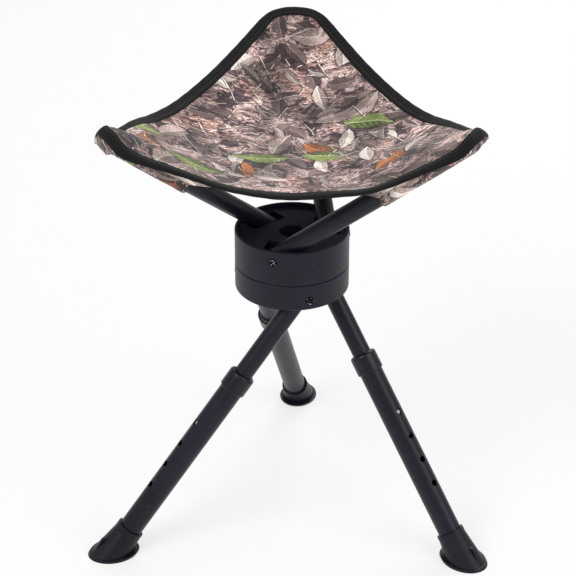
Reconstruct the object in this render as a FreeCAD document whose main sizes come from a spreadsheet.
# Tripod hunting stool: two stacked hub mouldings that swivel on one bolt, three telescoping
# legs below, three seat tubes above, and a cloth sling whose corners slip over the tubes.
# Lengths are in millimetres and angles in degrees. The floor is z = 0, the swivel axis is Z,
# and the stool is seen from -Y. Each tube lies beside the axis and folds on a radial screw.
import FreeCAD
import Part
import Sketcher
import math
import os

V = FreeCAD.Vector

SIZES = [
    # hubs and swivel
    ("hub_diameter", 120.0, "outside of both hub mouldings"),
    ("hub_wall", 3.5, "thin outer wall of a hub"),
    ("hub_floor", 4.0, "deck of a hub, and floor of its tube channels"),
    ("hub_top_drop", 4.5, "deck of a hub below its rim"),
    ("hub_edge", 1.0, "rounding of the upper hub's rim, and of the seam edges"),
    ("lower_hub_edge", 2.4, "rounding of the lower hub's rim"),
    ("upper_hub_height", 38.0, "upper moulding, seam to rim"),
    ("lower_hub_height", 28.2, "lower moulding, seam to rim"),
    ("channel_wall", 2.0, "wall round a tube channel"),
    ("boss_floor", 9.0, "clamped thickness round the swivel bolt"),
    ("recess_diameter", 27.0, "well over the bolt's head and nut"),
    ("recess_wall", 3.0, "wall round that well"),
    ("washer_thickness", 0.7, "plastic swivel washer"),
    ("washer_diameter", 108.0, "outside of the swivel washer"),
    ("swivel_play", 0.1, "axial play of the swivel"),
    ("bolt_diameter", 10.0, "swivel bolt"),
    ("bolt_play", 0.15, "radial play of the bolt in its bore"),
    ("bolt_flats", 17.0, "across flats of head and nut"),
    ("bolt_head_height", 6.4, "head of the swivel bolt"),
    ("nut_height", 8.0, "locking nut"),
    ("bolt_washer_diameter", 24.0, "steel washers under head and nut"),
    ("bolt_washer_thickness", 1.5, "steel washers under head and nut"),
    # pivots
    ("pin_offset", 39.0, "tube axes from the swivel axis"),
    ("upper_pin_drop", 12.5, "seat pivots below the upper rim"),
    ("lower_pin_rise", 10.8, "leg pivots above the lower rim"),
    ("upper_pin_azimuth", 250.5, "first seat pivot, anticlockwise from +X"),
    ("lower_pin_azimuth", 287.5, "first leg pivot, anticlockwise from +X"),
    ("pin_diameter", 6.0, "pivot screw shank"),
    ("pin_play", 0.2, "radial play of a tube on its screw"),
    ("thread_play", 0.05, "radial play of a screw in the hub"),
    ("pin_bite", 9.0, "screw length in the hub's middle"),
    ("pin_head_diameter", 8.4, "pan head"),
    ("pin_head_height", 2.4, "pan head"),
    ("spot_depth", 0.9, "flat seat cut in the hub wall for a head"),
    ("cross_width", 1.3, "screwdriver slot"),
    ("side_play", 0.4, "tube to channel side"),
    ("stop_play", 0.3, "tube to the edge that stops it"),
    # legs
    ("leg_splay", 37.0, "leg from the vertical when open"),
    ("inner_tube_diameter", 20.0, "upper leg tube"),
    ("outer_tube_diameter", 25.0, "lower leg tube"),
    ("tube_wall", 1.2, "wall of every tube"),
    ("leg_tail", 8.5, "leg tube past its pivot"),
    ("button_inset", 22.3, "snap button above the inner tube's lower end"),
    ("outer_tube_start", 111.0, "pivot to the outer tube's upper end, fully out"),
    ("outer_tube_length", 232.0, "lower leg tube"),
    ("hole_start", 70.7, "outer tube's end to its first hole"),
    ("hole_pitch", 28.4, "height steps"),
    ("hole_count", 4, "height steps"),
    ("hole_diameter", 7.0, "height holes"),
    ("slide_play", 0.3, "radial play of the telescoping pieces"),
    ("fit_play", 0.05, "radial play of pressed pieces"),
    ("collar_diameter", 28.6, "collar on the outer tube"),
    ("collar_length", 22.0, "collar"),
    ("collar_lip", 2.0, "collar above the outer tube's end"),
    ("collar_crown", 3.6, "rounding of the collar's upper edge"),
    ("collar_hem", 1.3, "rounding of the collar's lower edge"),
    ("collar_neck", 4.0, "bush inside the outer tube, past the collar"),
    ("plug_height", 5.0, "guide plug below the inner tube"),
    ("plug_stem", 10.0, "guide plug inside the inner tube"),
    # snap buttons
    ("button_diameter", 6.4, "snap button"),
    ("button_flange", 7.8, "collar that keeps the button in"),
    ("button_base", 4.8, "button's foot from the tube axis, pressed level"),
    ("button_flange_height", 1.0, "collar that keeps the button in"),
    ("button_sink", 0.2, "button's tip below the outer tube's bore"),
    ("button_dome", 1.1, "rounded end of the button"),
    ("spring_width", 6.0, "spring strip"),
    ("spring_strip", 0.6, "spring strip"),
    ("spring_length", 30.0, "spring strip, bend to button"),
    # feet
    ("foot_sleeve_diameter", 30.0, "foot round the tube"),
    ("foot_sleeve_length", 21.0, "tube held in the foot"),
    ("foot_flange_diameter", 43.0, "sole's width across the leg"),
    ("foot_flange_height", 2.8, "sole plate"),
    ("foot_sole", 3.6, "rubber below the tube's lowest edge"),
    ("foot_skirt_diameter", 42.0, "skirt of the sleeve at the sole's toe"),
    ("foot_skirt_sink", 16.0, "sole's toe below the leg's axis at the floor, along the leg"),
    ("foot_skirt_length", 44.0, "skirt along the leg"),
    ("foot_rib", 2.6, "fin down the toe side"),
    ("foot_rib_height", 20.0, "top of that fin above the floor"),
    ("foot_rib_toe", 2.0, "foot of that fin past the sole's half width"),
    ("foot_rib_head", 4.0, "top of that fin inside the sleeve's half width"),
    # seat
    ("seat_rise", 38.4, "seat tubes above the level when open"),
    ("seat_tube_diameter", 20.0, "seat tube"),
    ("seat_tail", 11.0, "seat tube past its pivot"),
    ("seat_tube_reach", 250.0, "pivot to the seat tube's upper end"),
    ("cap_stem", 15.0, "tube cap inside the tube"),
    ("corner_overhang", 12.2, "blunt end of a corner past the tube's upper end"),
    ("corner_width", 60.0, "blunt end of a corner"),
    ("corner_round", 20.0, "rounding of the blunt ends"),
    ("hem_hollow", 2.0, "middle of a hem inside the straight line between its ends"),
    ("corner_rise", 82.0, "corner above the seat's middle, before it rolls over"),
    ("hem_rise", 24.0, "middle of a hem above the seat's middle"),
    ("hem_slack", 11.0, "front hem lower and rear hems higher than that"),
    ("roll_rise", 79.0, "height at which a corner rolls over its tube"),
    ("roll_softness", 10.0, "how gently it rolls"),
    ("droop_left_rear", 24.0, "rear side of the left corner below its ridge"),
    ("droop_left_front", 13.0, "front side of the left corner below its ridge"),
    ("droop_right_rear", 14.0, "rear side of the right corner below its ridge"),
    ("droop_right_front", 9.0, "front side of the right corner below its ridge"),
    ("droop_back", 4.0, "both sides of the back corner below its ridge"),
    ("ridge_width", 12.0, "level top of a corner's ridge"),
    ("droop_width", 30.0, "from the ridge to the full droop"),
    ("droop_length", 75.0, "along the corner, from no droop to the full droop"),
    ("belly_right", 12.0, "sag of the front hem toward the right corner"),
    ("belly_left", 5.0, "sag of the front hem toward the left corner"),
    ("belly_turn", 24.0, "deepest point of a sag from its corner, in degrees"),
    ("belly_spread", 16.0, "half width of a sag, in degrees"),
    ("cloth_play", 0.4, "cloth to tube"),
    ("sheet_thickness", 1.6, "two layers of cloth"),
    ("binding_width", 11.0, "edge tape"),
    ("binding_thickness", 0.9, "edge tape"),
    ("binding_play", 0.15, "edge tape to cloth"),
    ("pocket_thickness", 1.0, "corner pocket"),
    ("pocket_length", 90.0, "corner pocket along the corner"),
    ("pocket_slack", 2.0, "pocket below the tube"),
    ("pocket_inset", 6.0, "pocket's seam from the edge"),
    ("seam_play", 0.7, "pocket's seam below the cloth"),
]

doc = FreeCAD.newDocument("Stool")
sheet = doc.addObject("Spreadsheet::Sheet", "Sizes")
for row, (alias, number, note) in enumerate(SIZES, start=1):
    sheet.set(f"A{row}", note)
    sheet.set(f"B{row}", str(number))
    sheet.setAlias(f"B{row}", alias)
doc.recompute()


class Size:
    """A size: its present value, and the expression that keeps a feature tied to the sheet."""

    def __init__(self, value, text):
        self.value = float(value)
        self.text = text

    def __add__(self, other):
        other = size(other)
        return Size(self.value + other.value, f"({self.text} + {other.text})")

    def __sub__(self, other):
        other = size(other)
        return Size(self.value - other.value, f"({self.text} - {other.text})")

    def __mul__(self, other):
        other = size(other)
        return Size(self.value * other.value, f"({self.text} * {other.text})")

    def __truediv__(self, other):
        other = size(other)
        return Size(self.value / other.value, f"({self.text} / {other.text})")

    def __neg__(self):
        return Size(-self.value, f"(0 - {self.text})")

    def __rsub__(self, other):
        return size(other) - self

    __radd__ = __add__
    __rmul__ = __mul__


def size(thing):
    return thing if isinstance(thing, Size) else Size(thing, repr(float(thing)))


def sine(angle):
    return Size(math.sin(math.radians(angle.value)), f"sin({angle.text})")


def cosine(angle):
    return Size(math.cos(math.radians(angle.value)), f"cos({angle.text})")


def root(number):
    return Size(math.sqrt(number.value), f"sqrt({number.text})")


class Sheet:
    """Sizes by name: S.hub_wall is the cell of that alias."""

    def __getattr__(self, alias):
        return Size(sheet.get(alias), f"Sizes.{alias}")


S = Sheet()
ZERO = size(0)


# Sketches and features


def bind(thing, prop, amount):
    thing.setExpression(prop, amount.text)


def new_body(label):
    body = doc.addObject("PartDesign::Body", label)
    body.Label = label
    return body


def origin_feature(body, role):
    return next(f for f in body.Origin.OriginFeatures if f.Role == role)


def new_sketch(body, plane, lift=ZERO):
    """An empty sketch on an origin plane of the body, lifted along the plane's normal."""
    sketch = body.newObject("Sketcher::SketchObject", "Outline")
    sketch.AttachmentSupport = [(origin_feature(body, plane), "")]
    sketch.MapMode = "FlatFace"
    sketch.AttachmentOffset = FreeCAD.Placement(V(0, 0, lift.value), FreeCAD.Rotation())
    bind(sketch, "AttachmentOffset.Base.z", lift)
    return sketch


def fix(sketch, kind, where, amount):
    """One driving constraint, tied to the sheet."""
    index = sketch.addConstraint(Sketcher.Constraint(kind, *where, amount.value))
    sketch.setExpression(f"Constraints[{index}]", amount.text)


def fix_point(sketch, geometry, point, x, y):
    for kind, amount, axis in (("DistanceX", x, -2), ("DistanceY", y, -1)):
        if abs(amount.value) < 1e-9:
            sketch.addConstraint(Sketcher.Constraint("PointOnObject", geometry, point, axis))
        else:
            fix(sketch, kind, (-1, 1, geometry, point), amount)


def polygon(sketch, points):
    """A closed outline through points given as pairs of sizes."""
    first = sketch.GeometryCount
    points = [(size(x), size(y)) for x, y in points]
    corners = [V(x.value, y.value, 0) for x, y in points]
    last = len(corners) - 1
    for i, corner in enumerate(corners):
        follower = corners[0 if i == last else i + 1]
        sketch.addGeometry(Part.LineSegment(corner, follower), False)
    for i, (x, y) in enumerate(points):
        before = first + (last if i == 0 else i - 1)
        sketch.addConstraint(Sketcher.Constraint("Coincident", before, 2, first + i, 1))
        fix_point(sketch, first + i, 1, x, y)


def rectangle(sketch, left, low, right, high):
    polygon(sketch, [(left, low), (right, low), (right, high), (left, high)])


def circle(sketch, radius, x=ZERO, y=ZERO):
    at = V(x.value, y.value, 0)
    index = sketch.addGeometry(Part.Circle(at, V(0, 0, 1), radius.value), False)
    fix(sketch, "Radius", (index,), radius)
    fix_point(sketch, index, 3, x, y)


def pad(body, sketch, length, both_ways=False):
    feature = body.newObject("PartDesign::Pad", "Pad")
    feature.Profile = sketch
    feature.Length = length.value
    bind(feature, "Length", length)
    feature.Midplane = both_ways
    doc.recompute()
    return feature


def pocket(body, sketch, depth=None, forward=False, both_ways=False):
    """Cut against the sketch's normal, or along it if forward. No depth cuts through."""
    feature = body.newObject("PartDesign::Pocket", "Pocket")
    feature.Profile = sketch
    if depth is None:
        feature.Type = "ThroughAll"
    else:
        feature.Length = depth.value
        bind(feature, "Length", depth)
    feature.Reversed = forward
    feature.Midplane = both_ways
    doc.recompute()
    return feature


def revolve(body, profile):
    """A full turn about Z of an outline in radius and height."""
    sketch = new_sketch(body, "XZ_Plane")
    polygon(sketch, profile)
    feature = body.newObject("PartDesign::Revolution", "Revolution")
    feature.Profile = sketch
    feature.ReferenceAxis = (sketch, ["V_Axis"])
    feature.Angle = 360
    doc.recompute()
    return feature


def three_times(body, features):
    """Repeat features at thirds of a turn about Z."""
    feature = body.newObject("PartDesign::PolarPattern", "Thirds")
    feature.Originals = features
    feature.Axis = (origin_feature(body, "Z_Axis"), [""])
    feature.Angle = 360
    feature.Occurrences = 3
    body.Tip = feature
    doc.recompute()
    return feature


def round_rings(body, kind, radius, ring_radius, height):
    """Fillet or chamfer the circular edges of one radius at one height."""
    tip = body.Tip
    names = []
    for index, edge in enumerate(tip.Shape.Edges, start=1):
        if not isinstance(edge.Curve, Part.Circle):
            continue
        same_ring = abs(edge.Curve.Radius - ring_radius.value) < 1e-4
        if same_ring and abs(edge.Curve.Center.z - height.value) < 1e-4:
            names.append(f"Edge{index}")
    feature = body.newObject(f"PartDesign::{kind}", kind)
    feature.Base = (tip, names)
    amount = "Radius" if kind == "Fillet" else "Size"
    setattr(feature, amount, radius.value)
    bind(feature, amount, radius)
    doc.recompute()
    return feature


def primitive(kind, name, **amounts):
    """A Part primitive whose properties are tied to the sheet."""
    thing = doc.addObject(f"Part::{kind}", name)
    for prop, amount in amounts.items():
        setattr(thing, prop, amount.value)
        bind(thing, prop, amount)
    return thing


def boolean(kind, name, pieces):
    thing = doc.addObject(f"Part::{kind}", name)
    if kind == "Cut":
        thing.Base, thing.Tool = pieces
    else:
        thing.Shapes = pieces
    return thing


def solid_feature(label, shape):
    thing = doc.addObject("Part::Feature", label)
    thing.Shape = shape
    return thing


# Where things are


def around(azimuth):
    angle = math.radians(azimuth)
    return V(math.cos(angle), math.sin(angle), 0)


UP = V(0, 0, 1)
hub_radius = S.hub_diameter / 2
socket_radius = hub_radius - S.hub_wall
tube_end = S.outer_tube_start + S.outer_tube_length
inner_radius = S.inner_tube_diameter / 2
outer_radius = S.outer_tube_diameter / 2
outer_bore = outer_radius - S.tube_wall
seat_radius = S.seat_tube_diameter / 2
button_at = S.outer_tube_start + S.hole_start
inner_reach = button_at + S.button_inset

# The legs set the height: the rubber under the tube's lowest edge stands on the floor.
pin_height = tube_end * cosine(S.leg_splay) + outer_radius * sine(S.leg_splay) + S.foot_sole
lower_rim = pin_height - S.lower_pin_rise
seam = lower_rim + S.lower_hub_height
swivel_gap = S.washer_thickness + S.swivel_play
upper_seam = seam + swivel_gap
seat_pin_height = upper_seam + S.upper_hub_height - S.upper_pin_drop


class Tube:
    """Axes of one folding tube: Z runs along it from its pivot, and Y along its screw."""

    def __init__(self, name, azimuth, height, sideways, upward):
        self.name = name
        self.screw = around(azimuth)
        self.heading = around(azimuth + sideways)
        lean = math.radians(upward)
        self.along = self.heading * math.cos(lean) + UP * math.sin(lean)
        self.across = self.screw.cross(self.along)
        self.pivot = self.screw * S.pin_offset.value + UP * height.value
        turn = FreeCAD.Rotation(self.across, self.screw, self.along, "ZYX")
        self.frame = FreeCAD.Placement(self.pivot, turn)

    def at(self, distance):
        return self.pivot + self.along * distance


lower_turns = [S.lower_pin_azimuth.value + 120 * k for k in range(3)]
upper_turns = [S.upper_pin_azimuth.value + 120 * k for k in range(3)]
leg_lean = S.leg_splay.value - 90
legs = [
    Tube(f"leg_{side}", turn, pin_height, -90, leg_lean)
    for side, turn in zip(("left", "right", "back"), lower_turns)
]
seat_tubes = [
    Tube(f"seat_tube_{side}", turn, seat_pin_height, 90, S.seat_rise.value)
    for side, turn in zip(("right", "back", "left"), upper_turns)
]

nodes = []


def keep(thing, placement=None):
    if placement is not None:
        thing.Placement = placement
    nodes.append(thing)
    return thing


# Hubs


def hub(label, height, pin_level, tube_radius, tail, rise, edge):
    """A cup, seam at z = 0: a deck round a middle well, and three tube channels let into it."""
    body = new_body(label)
    deck = height - S.hub_top_drop
    ceiling = deck - S.hub_floor
    middle = S.recess_diameter / 2 + S.recess_wall
    inside = [(0, 0), (middle, 0), (middle, ceiling), (socket_radius, ceiling), (socket_radius, 0)]
    outside = [(hub_radius, 0), (hub_radius, height), (socket_radius, height)]
    revolve(body, inside + outside + [(socket_radius, deck), (0, deck)])

    # The tail swings clear of a channel's one end. The tube comes to rest on the deck at the other.
    near = S.pin_offset - tube_radius - S.side_play
    far = S.pin_offset + tube_radius + S.side_play
    tail_end = -root(tail * tail + tube_radius * tube_radius) - S.side_play
    underside = (tube_radius + S.stop_play) / cosine(rise)
    stop_end = (deck - pin_level + underside) * cosine(rise) / sine(rise)
    wall = S.channel_wall
    sketch = new_sketch(body, "XY_Plane")
    rectangle(sketch, near - wall, tail_end - wall, far + wall, stop_end + wall)
    trough = pad(body, sketch, deck)
    sketch = new_sketch(body, "XY_Plane")
    rectangle(sketch, ZERO, -S.pin_diameter, near, S.pin_diameter)
    boss = pad(body, sketch, deck)
    sketch = new_sketch(body, "XY_Plane", deck)
    rectangle(sketch, near, tail_end, far, stop_end)
    channel = pocket(body, sketch, deck - S.hub_floor)

    sketch = new_sketch(body, "YZ_Plane", near - S.pin_bite)
    circle(sketch, S.pin_diameter / 2 + S.thread_play, ZERO, pin_level)
    bore = pocket(body, sketch, hub_radius, forward=True)
    sketch = new_sketch(body, "YZ_Plane", hub_radius - S.spot_depth)
    circle(sketch, S.pin_head_diameter / 2 + S.side_play, ZERO, pin_level)
    seat = pocket(body, sketch, S.hub_wall, forward=True)
    three_times(body, [trough, boss, channel, bore, seat])

    sketch = new_sketch(body, "XY_Plane", height)
    circle(sketch, S.recess_diameter / 2)
    pocket(body, sketch, height - S.boss_floor)
    sketch = new_sketch(body, "XY_Plane", height)
    circle(sketch, S.bolt_diameter / 2 + S.bolt_play)
    pocket(body, sketch)
    round_rings(body, "Fillet", edge, hub_radius, height)
    round_rings(body, "Chamfer", S.hub_edge / 2, hub_radius, ZERO)
    return body


upside_down = FreeCAD.Rotation(V(1, 0, 0), 180)
turned = FreeCAD.Rotation(UP, S.lower_pin_azimuth.value)
lower_place = FreeCAD.Placement(V(0, 0, seam.value), turned * upside_down)
leg_rise = 90 - S.leg_splay
lower_hub = hub(
    "lower_hub",
    S.lower_hub_height,
    S.lower_hub_height - S.lower_pin_rise,
    inner_radius,
    S.leg_tail,
    leg_rise,
    S.lower_hub_edge,
)
keep(lower_hub, lower_place)

upper_turn = FreeCAD.Rotation(UP, S.upper_pin_azimuth.value)
upper_hub = hub(
    "upper_hub",
    S.upper_hub_height,
    S.upper_hub_height - S.upper_pin_drop,
    seat_radius,
    S.seat_tail,
    S.seat_rise,
    S.hub_edge,
)
keep(upper_hub, FreeCAD.Placement(V(0, 0, upper_seam.value), upper_turn))


# Swivel


def on_axis(height):
    return FreeCAD.Placement(V(0, 0, height.value), FreeCAD.Rotation())


def hexagon(sketch, flats):
    half = flats / 2
    corner = half / cosine(size(30))
    ring = [(corner * cosine(size(60 * k)), corner * sine(size(60 * k))) for k in range(6)]
    polygon(sketch, ring)


washer = new_body("swivel_washer")
well = S.recess_diameter / 2 + S.recess_wall
washer_edge = S.washer_diameter / 2
thick = S.washer_thickness
revolve(washer, [(well, 0), (washer_edge, 0), (washer_edge, thick), (well, thick)])
keep(washer, on_axis(seam))

head_top = seam - S.boss_floor - S.bolt_washer_thickness
nut_base = upper_seam + S.boss_floor + S.swivel_play + S.bolt_washer_thickness
bolt_end = nut_base + S.nut_height + S.bolt_washer_thickness

bolt = new_body("swivel_bolt")
sketch = new_sketch(bolt, "XY_Plane", -S.bolt_head_height)
hexagon(sketch, S.bolt_flats)
pad(bolt, sketch, S.bolt_head_height)
sketch = new_sketch(bolt, "XY_Plane")
circle(sketch, S.bolt_diameter / 2)
pad(bolt, sketch, bolt_end - head_top)
keep(bolt, on_axis(head_top))

nut = new_body("swivel_nut")
sketch = new_sketch(nut, "XY_Plane")
hexagon(sketch, S.bolt_flats)
circle(sketch, S.bolt_diameter / 2 + S.fit_play)
pad(nut, sketch, S.nut_height)
keep(nut, on_axis(nut_base))


def steel_washer(label, base):
    body = new_body(label)
    hole = S.bolt_diameter / 2 + S.bolt_play
    rim = S.bolt_washer_diameter / 2
    top = S.bolt_washer_thickness
    revolve(body, [(hole, 0), (rim, 0), (rim, top), (hole, top)])
    body.Placement = on_axis(base)
    return body


washers = doc.addObject("Part::Compound", "bolt_washers")
washers.Links = [
    steel_washer("washer_head", head_top),
    steel_washer("washer_nut", nut_base - S.bolt_washer_thickness),
]
keep(washers)


# Pivot screws


def pivot_screw(label, tube, tube_radius):
    """A pan-head screw along Z, which runs out from the swivel axis through one tube."""
    body = new_body(label)
    inner_end = S.pin_offset - tube_radius - S.side_play - S.pin_bite + S.side_play
    head_seat = hub_radius - S.spot_depth
    head_end = head_seat + S.pin_head_height
    shank = S.pin_diameter / 2
    head = S.pin_head_diameter / 2
    crown = head - S.pin_head_height / 3
    shoulder = head_seat + S.pin_head_height * 2 / 3
    profile = [(0, inner_end), (shank, inner_end), (shank, head_seat), (head, head_seat)]
    revolve(body, profile + [(head, shoulder), (crown, head_end), (0, head_end)])
    sketch = new_sketch(body, "XY_Plane", head_end)
    thin = S.cross_width / 2
    wide = S.pin_head_diameter / 3.4
    arms = [(wide, -thin), (wide, thin), (thin, thin), (thin, wide), (-thin, wide), (-thin, thin)]
    polygon(sketch, arms + [(-x, -y) for x, y in arms])
    pocket(body, sketch, S.pin_head_height / 2)
    base = UP * tube.pivot.z
    body.Placement = FreeCAD.Placement(base, FreeCAD.Rotation(UP, tube.screw))
    return body


leg_screws = doc.addObject("Part::Compound", "leg_pivot_screws")
leg_screws.Links = [pivot_screw(f"screw_{t.name}", t, inner_radius) for t in legs]
keep(leg_screws)
seat_screws = doc.addObject("Part::Compound", "seat_pivot_screws")
seat_screws.Links = [pivot_screw(f"screw_{t.name}", t, seat_radius) for t in seat_tubes]
keep(seat_screws)


# Tubes


def tube_body(label, radius, start, end):
    body = new_body(label)
    sketch = new_sketch(body, "XY_Plane", start)
    circle(sketch, radius)
    circle(sketch, radius - S.tube_wall)
    pad(body, sketch, end - start)
    return body


def pivot_hole(body):
    sketch = new_sketch(body, "XZ_Plane")
    circle(sketch, S.pin_diameter / 2 + S.pin_play)
    pocket(body, sketch, both_ways=True)


def side_hole(body, distance, radius):
    """A hole in the wall on the outer side of a leg, which is -X."""
    sketch = new_sketch(body, "YZ_Plane")
    circle(sketch, S.hole_diameter / 2, ZERO, distance)
    return pocket(body, sketch, radius * 2)


def inner_tube(leg):
    body = tube_body(f"{leg.name}_inner_tube", inner_radius, -S.leg_tail, inner_reach)
    pivot_hole(body)
    side_hole(body, button_at, inner_radius)
    return body


def outer_tube(leg):
    body = tube_body(f"{leg.name}_outer_tube", outer_radius, S.outer_tube_start, tube_end)
    hole = side_hole(body, button_at, outer_radius)
    pattern = body.newObject("PartDesign::LinearPattern", "Holes")
    pattern.Originals = [hole]
    pattern.Direction = (origin_feature(body, "Z_Axis"), [""])
    pattern.Length = (S.hole_pitch * (S.hole_count - 1)).value
    bind(pattern, "Length", S.hole_pitch * (S.hole_count - 1))
    pattern.Occurrences = int(S.hole_count.value)
    bind(pattern, "Occurrences", S.hole_count)
    body.Tip = pattern
    doc.recompute()
    return body


def collar(leg):
    """A cap on the outer tube's end, with a bush that guides the inner tube."""
    body = new_body(f"{leg.name}_collar")
    top = S.outer_tube_start - S.collar_lip
    bottom = top + S.collar_length
    rim = S.collar_diameter / 2
    guide = inner_radius + S.slide_play
    bush = outer_bore - S.fit_play
    grip = outer_radius + S.fit_play
    neck = bottom + S.collar_neck
    outside = [(guide, top), (rim, top), (rim, bottom), (grip, bottom)]
    inside = [(grip, S.outer_tube_start), (bush, S.outer_tube_start), (bush, neck), (guide, neck)]
    revolve(body, outside + inside)
    round_rings(body, "Fillet", S.collar_crown, rim, top)
    round_rings(body, "Fillet", S.collar_hem, rim, bottom)
    return body


def guide_plug(leg):
    body = new_body(f"{leg.name}_guide_plug")
    stem = inner_radius - S.tube_wall - S.fit_play
    rim = outer_bore - S.slide_play
    end = inner_reach
    stem_top = end - S.plug_stem
    base = end + S.plug_height
    revolve(body, [(0, stem_top), (stem, stem_top), (stem, end), (rim, end), (rim, base), (0, base)])
    return body


def button(leg):
    """The snap button along Z, out from the tube's axis, with its tip just inside the bore."""
    body = new_body(f"{leg.name}_button")
    tip = outer_bore - S.button_sink
    shoulder = tip - S.button_dome
    ledge = S.button_base + S.button_flange_height
    neck = S.button_diameter / 2
    crown = neck - S.button_dome
    flange = S.button_flange / 2
    lower = [(0, S.button_base), (flange, S.button_base), (flange, ledge), (neck, ledge)]
    revolve(body, lower + [(neck, shoulder), (crown, tip), (0, tip)])
    return body


def button_spring(leg):
    """A bent strip inside the inner tube: one leaf under the button, one on the far wall."""
    body = new_body(f"{leg.name}_button_spring")
    strip = S.spring_strip
    bend = button_at - S.spring_length
    near = -(S.button_base - S.fit_play)
    far = root(
        (inner_radius - S.tube_wall) * (inner_radius - S.tube_wall)
        - S.spring_width * S.spring_width / 4
    ) - S.fit_play
    leaf_end = button_at + S.button_flange / 2
    leaf_start = button_at - S.button_flange / 2
    outside = [(near, leaf_end), (near, leaf_start), (-strip, bend), (strip, bend)]
    inside = [(far, leaf_end), (far - strip, leaf_end), (ZERO, bend + strip * 3)]
    sketch = new_sketch(body, "XZ_Plane")
    polygon(sketch, outside + inside + [(near + strip, leaf_start), (near + strip, leaf_end)])
    pad(body, sketch, S.spring_width, both_ways=True)
    return body


# Feet


def tilted(distance):
    """Place on a leg's axis, up from where it meets the floor, in the foot's own axes."""
    turn = FreeCAD.Rotation(V(0, -1, 0), S.leg_splay.value)
    return FreeCAD.Placement(turn.multVec(V(0, 0, distance.value)), turn)


def above_floor(name, pieces, height):
    """What lies between the floor and a level, whatever the leg's slope cuts through it."""
    span = S.foot_flange_diameter * 4
    slab = primitive("Box", f"{name}_slab", Length=span, Width=span, Height=height)
    slab.Placement = FreeCAD.Placement(V(-span.value / 2, -span.value / 2, 0), FreeCAD.Rotation())
    return boolean("MultiCommon", f"{name}_level", [pieces, slab])


def foot(leg):
    """A rubber shoe: sleeve, skirt and fin on a flat oval sole, which is level when open."""
    name = f"{leg.name}_foot"
    axis_to_floor = pin_height / cosine(S.leg_splay)
    tube_bottom = axis_to_floor - tube_end
    below = S.foot_flange_diameter
    rise = tube_bottom + S.foot_sleeve_length
    sleeve_radius = S.foot_sleeve_diameter / 2
    sleeve = primitive("Cylinder", f"{name}_sleeve", Radius=sleeve_radius, Height=rise + below)
    sleeve.Placement = tilted(-below)
    skirt = primitive(
        "Cone",
        f"{name}_skirt",
        Radius1=S.foot_skirt_diameter / 2,
        Radius2=sleeve_radius,
        Height=S.foot_skirt_length,
    )
    skirt.Placement = tilted(-S.foot_skirt_sink)
    sole_rim = S.foot_flange_diameter / 2
    plate = primitive("Cylinder", f"{name}_plate", Radius=sole_rim, Height=below * 2)
    plate.Placement = tilted(-below)
    sole = above_floor(f"{name}_sole", plate, S.foot_flange_height)
    rib = primitive(
        "Wedge",
        f"{name}_rib",
        Xmin=ZERO,
        Xmax=sole_rim + S.foot_rib_toe,
        X2min=ZERO,
        X2max=sleeve_radius - S.foot_rib_head,
        Zmin=ZERO,
        Zmax=S.foot_rib,
        Z2min=ZERO,
        Z2max=S.foot_rib,
        Ymin=ZERO,
        Ymax=S.foot_rib_height,
    )
    upright = FreeCAD.Rotation(V(1, 0, 0), 90)
    rib.Placement = FreeCAD.Placement(V(0, S.foot_rib.value / 2, 0), upright)
    shoe = boolean("MultiFuse", f"{name}_shoe", [sleeve, skirt, rib])
    standing = above_floor(f"{name}_standing", shoe, rise + below)
    solid = boolean("MultiFuse", f"{name}_solid", [standing, sole])
    socket = primitive(
        "Cylinder",
        f"{name}_socket",
        Radius=outer_radius + S.fit_play,
        Height=S.foot_sleeve_length + below,
    )
    socket.Placement = tilted(tube_bottom)
    shape = boolean("Cut", name, (solid, socket))
    heading = math.degrees(math.atan2(leg.heading.y, leg.heading.x))
    spot = leg.at(axis_to_floor.value)
    shape.Placement = FreeCAD.Placement(V(spot.x, spot.y, 0), FreeCAD.Rotation(UP, heading))
    return shape


for leg in legs:
    keep(inner_tube(leg), leg.frame)
    keep(guide_plug(leg), leg.frame)
    outward = FreeCAD.Rotation(leg.screw, leg.along, leg.across * -1, "ZYX")
    keep(button(leg), FreeCAD.Placement(leg.at(button_at.value), outward))
    keep(button_spring(leg), leg.frame)
    keep(outer_tube(leg), leg.frame)
    keep(collar(leg), leg.frame)
    keep(foot(leg))


# Seat tubes


def seat_tube(tube):
    body = tube_body(tube.name, seat_radius, -S.seat_tail, S.seat_tube_reach)
    pivot_hole(body)
    return body


def seat_cap(tube):
    """A round-ended plug in the upper end of a seat tube."""
    name = f"{tube.name}_cap"
    stem_radius = seat_radius - S.tube_wall - S.fit_play
    stem = primitive("Cylinder", f"{name}_stem", Radius=stem_radius, Height=S.cap_stem)
    stem.Placement = FreeCAD.Placement(V(0, 0, -S.cap_stem.value), FreeCAD.Rotation())
    dome = primitive("Sphere", f"{name}_dome", Radius=seat_radius)
    dome.Angle1 = 0
    return boolean("MultiFuse", name, [stem, dome])


for tube in seat_tubes:
    keep(seat_tube(tube), tube.frame)
    upper_end = FreeCAD.Placement(V(0, 0, S.seat_tube_reach.value), FreeCAD.Rotation())
    keep(seat_cap(tube), tube.frame * upper_end)


# Sling: a bowl over a blunt-cornered triangle with hollow sides

tip = seat_tubes[1].at(S.seat_tube_reach.value)
back_corner = math.degrees(math.atan2(tip.y, tip.x))
right_corner = back_corner - 120
left_corner = back_corner + 120
front = back_corner + 180
seat_reach = math.hypot(tip.x, tip.y) + S.corner_overhang.value
corner_half = S.corner_width.value / 2
hem_reach = (seat_reach + corner_half * math.sqrt(3)) / 2 - S.hem_hollow.value


def eased(share):
    """0 up to 0, 1 from 1 on, and a smooth step between."""
    share = min(1, max(0, share))
    return share * share * (3 - 2 * share)


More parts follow.
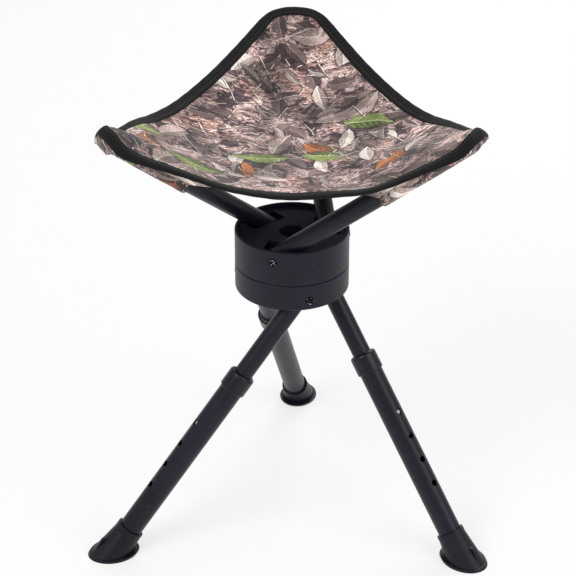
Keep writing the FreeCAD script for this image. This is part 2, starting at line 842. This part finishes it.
def bowl(x, y):
    """Height of the cloth above the seat's middle, were it pulled alike all round."""
    azimuth = math.degrees(math.atan2(y, x))
    cornerward = (1 + math.cos(math.radians(3 * (azimuth - back_corner)))) / 2
    # The slack is -1 at the front hem and 1 at the two rear hems.
    slack = 1 / 3 - 4 / 3 * math.cos(math.radians(azimuth - front))
    at_corner = S.corner_rise.value / seat_reach**2
    at_hem = (S.hem_rise.value + S.hem_slack.value * slack) / hem_reach**2
    rise = (x * x + y * y) * (cornerward * at_corner + (1 - cornerward) * at_hem)
    roll = S.roll_rise.value
    return (rise + roll - math.hypot(rise - roll, S.roll_softness.value)) / 2


def corner_droop(x, y):
    """How far a corner's sides hang below the ridge over its tube."""
    place = V(x, y, 0)
    total = 0
    for corner, clockwise, anticlockwise in (
        (right_corner, S.droop_right_front, S.droop_right_rear),
        (back_corner, S.droop_back, S.droop_back),
        (left_corner, S.droop_left_rear, S.droop_left_front),
    ):
        along = place.dot(around(corner)) - seat_reach
        across = place.dot(around(corner + 90))
        side = anticlockwise if across > 0 else clockwise
        off_ridge = abs(across) - S.ridge_width.value / 2
        growth = eased(1 + along / S.droop_length.value)
        total += side.value * growth * eased(off_ridge / S.droop_width.value)
    return total


def hem_belly(x, y):
    """How far the front hem sags on both sides of its middle."""
    azimuth = math.degrees(math.atan2(y, x))
    share = math.hypot(x, y) / seat_reach
    total = 0
    for deepest, depth in (
        (right_corner - S.belly_turn.value, S.belly_right.value),
        (left_corner + S.belly_turn.value, S.belly_left.value),
    ):
        turn = (azimuth - deepest + 180) % 360 - 180
        total += depth * math.exp(-((turn / S.belly_spread.value) ** 2))
    return total * eased(share * 1.3)


def sling_rise(x, y):
    """Height of the cloth's underside above the seat's middle."""
    return bowl(x, y) - corner_droop(x, y) - hem_belly(x, y)


# The cloth lies on the upper edge of the tubes' ends.
cloth_offset = (seat_radius + S.cloth_play) / cosine(S.seat_rise)
middle_height = tip.z + cloth_offset.value - sling_rise(tip.x, tip.y)


def sling_height(x, y):
    return middle_height + sling_rise(x, y)


def cloth(thickness):
    """A slab of cloth over more than the seat's outline."""
    span = seat_reach + S.corner_width.value / 4
    count = 31
    steps = [span * (2 * i / (count - 1) - 1) for i in range(count)]
    grid = [[V(x, y, sling_height(x, y)) for y in steps] for x in steps]
    surface = Part.BSplineSurface()
    surface.interpolate(grid)
    return surface.toShape().extrude(V(0, 0, thickness))


# A hem is an arc whose middle point and ends are given.
hem_centre = (seat_reach**2 + corner_half**2 - hem_reach**2) / (2 * S.hem_hollow.value)
hem_radius = hem_centre - hem_reach


def half_width(reach):
    """Half of the seat's width across a corner, at a distance from the swivel axis."""
    along = reach - hem_centre / 2
    return hem_centre * math.sqrt(3) / 2 - math.sqrt(hem_radius**2 - along**2)


def seat_outline():
    """The seat's plan as a flat face at z = 0."""
    edges = []
    for k in range(3):
        corner = back_corner + 120 * k
        ends = []
        for turn, side in ((corner, 1), (corner + 120, -1)):
            sideways = around(turn + 90) * (side * corner_half)
            ends.append(around(turn) * seat_reach + sideways)
        before = around(corner) * seat_reach - around(corner + 90) * corner_half
        edges.append(Part.LineSegment(before, ends[0]).toShape())
        hem = Part.Arc(ends[0], around(corner + 60) * hem_reach, ends[1])
        edges.append(hem.toShape())
    prism = Part.Face(Part.Wire(edges)).extrude(UP)
    upright = [e for e in prism.Edges if abs(e.tangentAt(e.FirstParameter).z) > 0.99]
    rounded = prism.makeFillet(S.corner_round.value, upright)
    return next(f for f in rounded.Faces if f.CenterOfMass.z < 1e-6)


def column(face):
    base = face.copy()
    base.translate(UP * (middle_height - S.corner_rise.value))
    return base.extrude(UP * S.corner_rise.value * 3)


outline = seat_outline()
sheet_plan = outline.makeOffset2D(-S.binding_thickness.value)
binding_plan = outline.makeOffset2D(-S.binding_width.value)
sheet_solid = cloth(S.sheet_thickness.value).common(column(sheet_plan))
ease = S.binding_play.value
tape = cloth(S.sheet_thickness.value + ease + S.binding_thickness.value)
tape_border = column(outline).cut(column(binding_plan))
tape_lining = cloth(S.sheet_thickness.value + ease).common(column(sheet_plan.makeOffset2D(ease)))
tape_solid = tape.common(tape_border).cut(tape_lining)


class PocketSection:
    """A pocket's band across one corner, in the upright plane at a distance from the axis."""

    def __init__(self, tube, reach):
        tip = tube.at(S.seat_tube_reach.value)
        self.out = V(tip.x, tip.y, 0).normalize()
        self.side = UP.cross(self.out)
        self.reach = reach
        travel = (reach - tube.pivot.dot(self.out)) / tube.along.dot(self.out)
        self.axis = tube.at(travel)
        self.middle = self.axis.dot(self.side)
        lean = math.radians(S.seat_rise.value)
        self.drop = seat_radius.value / math.cos(lean) + S.pocket_slack.value

    def place(self, across, height):
        return self.out * self.reach + self.side * across + UP * height

    def run(self, inward):
        """Seam, cheek, round of the tube, cheek and seam, on the band's outer or inner side."""
        seam_reach = half_width(self.reach) - S.pocket_inset.value - inward
        cheek = self.drop * 1.3 - inward
        tops = []
        for sign in (-1, 1):
            hem = self.place(sign * seam_reach, 0)
            top = sling_height(hem.x, hem.y) - S.seam_play.value
            tops.append(self.place(sign * seam_reach, top))
        bottom = self.drop + S.pocket_thickness.value - inward
        arc = []
        for turn in (-90, -45, 0, 45, 90):
            across = self.middle + cheek * math.sin(math.radians(turn))
            height = self.axis.z - bottom * math.cos(math.radians(turn))
            # A cheek stays below its seam, also where the corner droops.
            seam = tops[0] if turn < 0 else tops[1]
            if turn != 0:
                height = min(height, seam.z - S.pocket_slack.value + inward)
            arc.append(self.place(across, height))
        return [tops[0]] + arc + [tops[1]]

    def band(self):
        """The closed outline of the cloth."""
        outer = self.run(0)
        inner = self.run(S.pocket_thickness.value)
        return Part.makePolygon(outer + inner[::-1] + outer[:1])

    def end_wall(self):
        """The sewn end of the pocket, a little below the cloth."""
        run = self.run(0)
        ease = UP * S.cloth_play.value
        run = [run[0] - ease] + run[1:-1] + [run[-1] - ease]
        face = Part.Face(Part.makePolygon(run + run[:1]))
        return face.extrude(self.out * -S.pocket_thickness.value)


def seat_pocket(tube):
    """The cloth pocket under one corner, open toward the hub."""
    end = seat_reach - S.binding_thickness.value
    length = S.pocket_length.value
    sections = [PocketSection(tube, end - length * k / 4) for k in (4, 3, 2, 1, 0)]
    trough = Part.makeLoft([section.band() for section in sections], True, False)
    return trough.fuse(sections[-1].end_wall()).removeSplitter()


for tube in seat_tubes:
    name = tube.name.replace("tube", "pocket")
    keep(solid_feature(name, seat_pocket(tube)))
keep(solid_feature("seat_sheet", sheet_solid))
keep(solid_feature("seat_binding", tape_solid))


# Checks and files

doc.recompute()
for thing in doc.Objects:
    bad = [state for state in thing.State if state in ("Invalid", "Error")]
    if bad:
        raise RuntimeError(f"{thing.Label}: {bad}")
os.makedirs("parts", exist_ok=True)
for node in nodes:
    shape = node.Shape
    if shape.isNull() or not shape.isValid() or not shape.Solids:
        raise RuntimeError(f"{node.Label}: no valid solid")
    print(f"{node.Label}: {len(shape.Solids)} solid(s), {shape.Volume / 1000:.2f} cm3")
    shape.exportStep(os.path.join("parts", f"{node.Label}.step"))
print(f"{len(nodes)} nodes, seat middle at {middle_height:.1f} mm")
